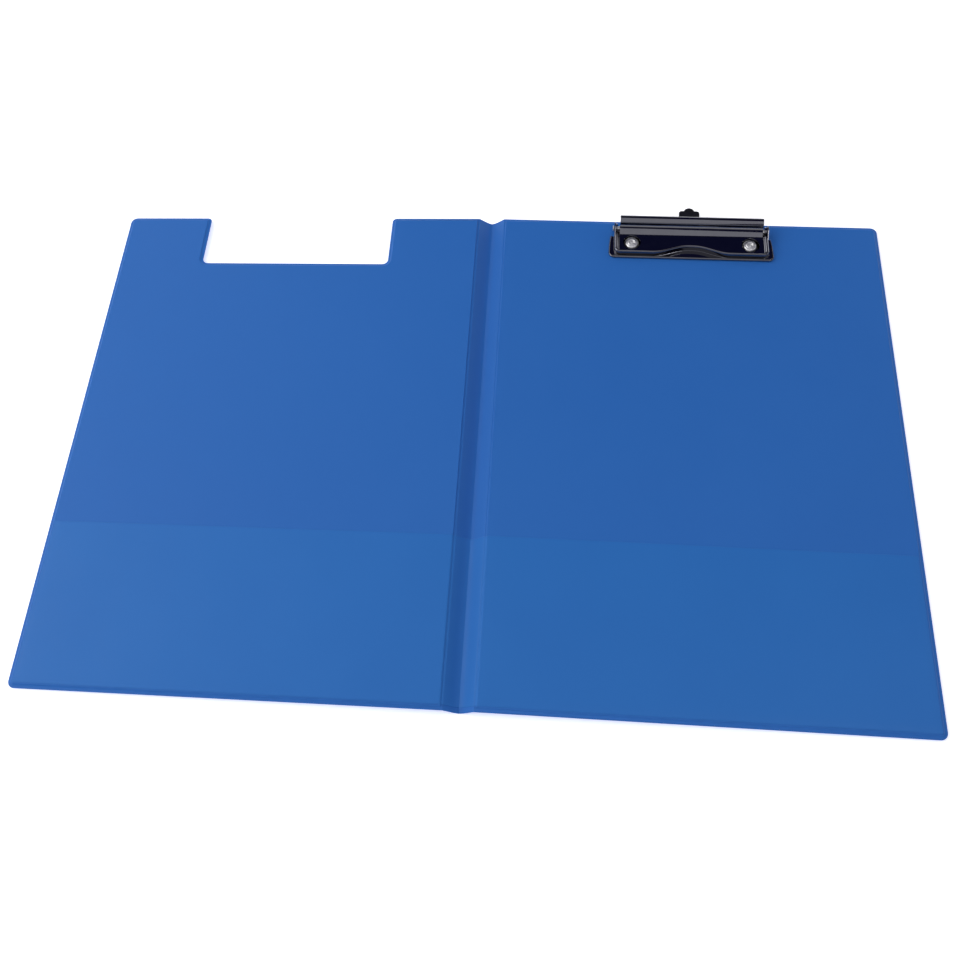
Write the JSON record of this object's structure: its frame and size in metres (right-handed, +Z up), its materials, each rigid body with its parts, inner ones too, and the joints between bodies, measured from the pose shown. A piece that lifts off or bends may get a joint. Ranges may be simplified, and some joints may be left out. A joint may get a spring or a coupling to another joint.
{
  "type": "clipboard",
  "caption": "Fold-over clipboard lying open, with a notched cover, a pocket strip along the foot, a sprung chromed clip and a sliding hanging tab.",
  "frame": {"origin": "centre of the open clipboard's footprint, on the table", "axes": "+X across the spread from the notched cover to the writing board, +Y up the page towards the clip, +Z up from the table"},
  "size_m": [0.489, 0.3308, 0.0178],
  "materials": {
    "vinyl": "satin blue flexible PVC with a fine grain",
    "pocket_film": "smoother blue PVC film",
    "greyboard": "grey pulp board",
    "chrome": "bright chrome plate",
    "rivet_steel": "nickel plate",
    "spring_steel": "drawn spring wire",
    "tab_plastic": "black moulded plastic"
  },
  "bodies": {
    "back_panel": {"back_board": "greyboard", "back_outer_sheet": "vinyl", "back_liner": "vinyl", "back_pocket": "pocket_film", "clip_base": "chrome", "clip_rivets": "rivet_steel", "rivet_washers": "rivet_steel", "pivot_pin": "chrome", "spring_left": "spring_steel", "spring_right": "spring_steel"},
    "spine": {"spine_outer_sheet": "vinyl", "spine_liner": "vinyl", "spine_pocket": "pocket_film"},
    "front_cover": {"cover_board": "greyboard", "cover_outer_sheet": "vinyl", "cover_liner": "vinyl", "cover_pocket": "pocket_film"},
    "jaw": {"jaw_lever": "chrome"},
    "tab": {"hanging_tab": "tab_plastic"}
  },
  "joints": [
    {"name": "spine_fold", "type": "hinge", "parent": "back_panel", "child": "spine", "pos_m": [0.008, 0, 0.00555], "axis": [0, 1, 0], "range_deg": [-88.97, 91.03]},
    {"name": "cover_fold", "type": "hinge", "parent": "spine", "child": "front_cover", "pos_m": [-0.008, 0, 0.00555], "axis": [0, 1, 0], "range_deg": [-88.97, 91.03]},
    {"name": "jaw_open", "type": "hinge", "parent": "back_panel", "child": "jaw", "pos_m": [0.12706, 0.1458, 0.00797], "axis": [-0.9998, 0, 0.0179], "range_deg": [0, 35], "stiffness_Nm_per_rad": 0.3, "springref_deg": -57.3, "deforming": ["spring_left", "spring_right"]},
    {"name": "tab_slide", "type": "slide", "parent": "back_panel", "child": "tab", "axis": [0, 1, 0], "range_m": [0, 0.0132]}
  ]
}
